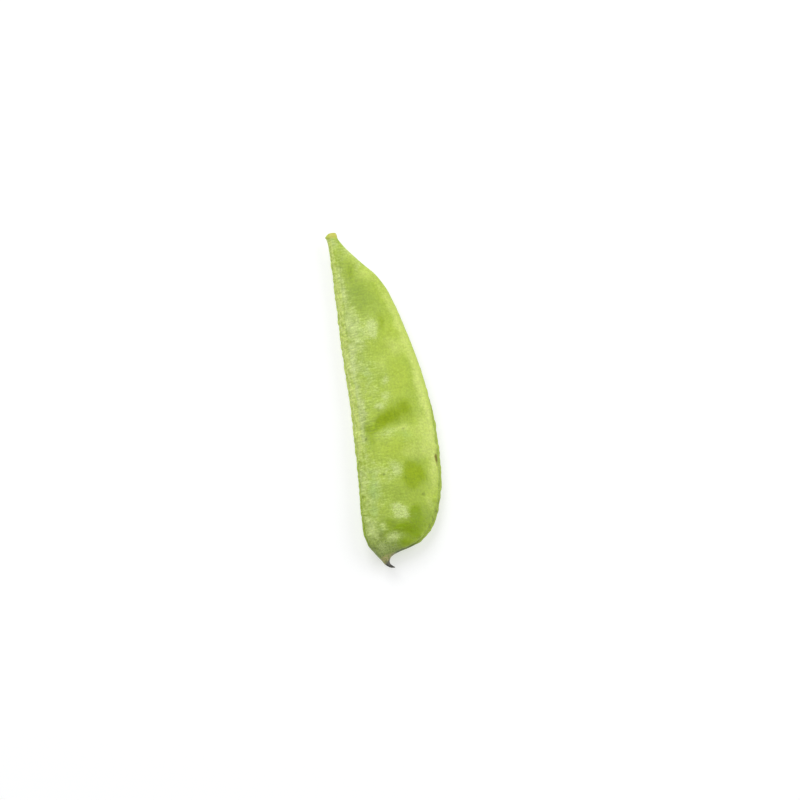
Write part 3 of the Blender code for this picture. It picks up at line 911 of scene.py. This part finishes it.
def skin_material():
    """The pod's skin: greens that follow the marks, with a soft waxy gloss and a fine grain."""
    material = bpy.data.materials.new("pod_skin")
    n = Nodes(material)
    g = Grain(n)
    n.feed(n.shader.inputs["Base Color"], skin_colour(n, g))
    rough = n.plus(n.rise(g.grains, *MIDRANGE, *ROUGHNESS), n.times(n.mark("dry"), DRY_ROUGHER))
    n.feed(n.shader.inputs["Roughness"], rough)
    n.shader.inputs["Specular IOR Level"].default_value = SPECULAR
    n.shader.inputs["Subsurface Weight"].default_value = SUBSURFACE
    n.shader.inputs["Subsurface Radius"].default_value = SUBSURFACE_RADIUS
    n.shader.inputs["Subsurface Scale"].default_value = SUBSURFACE_SCALE
    height = n.plus(n.times(g.across, BUMP_ACROSS), n.times(g.grains, BUMP_GRAINS))
    height = n.plus(height, n.times(g.fine, BUMP_FINE))
    relief = n.add("ShaderNodeBump", {"Strength": BUMP_STRENGTH, "Distance": BUMP_HEIGHT, "Height": height})
    n.feed(n.shader.inputs["Normal"], relief.outputs["Normal"])
    return material


def add_object(name, data):
    """A new object of the scene, made of this data."""
    made = bpy.data.objects.new(name, data)
    bpy.context.scene.collection.objects.link(made)
    return made


def build_skin():
    """The pod's skin with its marks and material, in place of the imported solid."""
    rings, facts = pod_grid()
    scar, scar_middle = scar_rings(rings[0])
    count = len(rings[0])
    points = settled(np.vstack([scar_middle, *scar[::-1], *rings, rings[-1].mean(axis=0)]))
    mesh = lofted(points, len(scar) + len(rings), count)

    facts = np.vstack([facts[0][0], *[facts[0]] * len(scar), *facts, facts[-1][0]])
    in_scar = (np.arange(len(facts)) < 1 + count * len(scar)).astype(float)
    for name, values in marks(facts, in_scar).items():
        mesh.attributes.new(name, "FLOAT", "POINT").data.foreach_set("value", values.astype(np.float32))
    for name, columns in (("place", (0, 1, 2)), ("edges", (0, 3, 4))):
        values = facts[:, columns].astype(np.float32).ravel()
        mesh.attributes.new(name, "FLOAT_VECTOR", "POINT").data.foreach_set("vector", values)

    mesh.materials.append(skin_material())
    skin = add_object("pod_skin", mesh)
    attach(skin, "root")
    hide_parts("flat_bean_pod")


WHITE = (1.0, 1.0, 1.0, 1.0)
# The floor is a square of this half width in metres, and glows a little so that it looks white.
FLOOR_HALF = 4.0
FLOOR_COLOUR = (0.5, 0.505, 0.51, 1.0)
FLOOR_ROUGHNESS = 0.9
FLOOR_GLOW = 0.52


def build_floor():
    """The plain pale floor that the pod lies on."""
    mesh = bpy.data.meshes.new("floor")
    corners = [(x * FLOOR_HALF, y * FLOOR_HALF, 0.0) for x, y in ((-1, -1), (1, -1), (1, 1), (-1, 1))]
    mesh.from_pydata(corners, [], [(0, 1, 2, 3)])
    material = bpy.data.materials.new("floor")
    material.use_nodes = True
    shader = material.node_tree.nodes["Principled BSDF"]
    shader.inputs["Base Color"].default_value = FLOOR_COLOUR
    shader.inputs["Roughness"].default_value = FLOOR_ROUGHNESS
    shader.inputs["Emission Color"].default_value = WHITE
    shader.inputs["Emission Strength"].default_value = FLOOR_GLOW
    mesh.materials.append(material)
    add_object("floor", mesh)


# Each soft light: its azimuth, which is 0 behind the pod and 90 to its right, its elevation, its distance and
# size in metres, and its power in watts.
LIGHTS = {"key": (-20.0, 52.0, 0.9, 0.7, 5.05), "side": (80.0, 42.0, 0.9, 0.6, 2.8)}
AMBIENT = 0.42


def softbox(name, azimuth, elevation, distance, size, watts):
    """A square area light that looks at the pod."""
    a, e = math.radians(azimuth), math.radians(elevation)
    towards = Vector((math.sin(a) * math.cos(e), math.cos(a) * math.cos(e), math.sin(e)))
    data = bpy.data.lights.new(name, "AREA")
    data.energy, data.size = watts, size
    lamp = add_object(name, data)
    lamp.rotation_mode = "QUATERNION"
    lamp.location = towards * distance
    lamp.rotation_quaternion = towards.to_track_quat("Z", "Y")


def build_lights():
    """The soft lights, and an even light from all round."""
    for name, settings in LIGHTS.items():
        softbox(name, *settings)
    world = bpy.data.worlds.new("studio")
    world.use_nodes = True
    background = world.node_tree.nodes["Background"]
    background.inputs["Color"].default_value = WHITE
    background.inputs["Strength"].default_value = AMBIENT
    bpy.context.scene.world = world
    bpy.context.scene.view_settings.view_transform = "Standard"


# The camera's azimuth is 0 in front of the hook. It starts to see at this distance in metres.
LENS, CAMERA_DISTANCE = 100.0, 667.52
CAMERA_AZIMUTH, CAMERA_ELEVATION = -10.179, 68.0
CAMERA_AIM = (4.429, -3.248, 3.8)
CLIP_START = 0.01


def build_camera():
    """The camera, level from side to side and as steep above the pod's face as the photo's."""
    a, e = math.radians(CAMERA_AZIMUTH), math.radians(CAMERA_ELEVATION)
    back = Vector((math.sin(a) * math.cos(e), -math.cos(a) * math.cos(e), math.sin(e)))
    right = Vector((math.cos(a), math.sin(a), 0))
    turned = Matrix((right, back.cross(right), back)).transposed().to_4x4()
    camera = add_object("camera", bpy.data.cameras.new("camera"))
    camera.data.lens = LENS
    camera.data.clip_start = CLIP_START
    camera.matrix_world = Matrix.Translation((Vector(CAMERA_AIM) + back * CAMERA_DISTANCE) * MM) @ turned
    bpy.context.scene.camera = camera


build_skin()
build_floor()
build_lights()
build_camera()
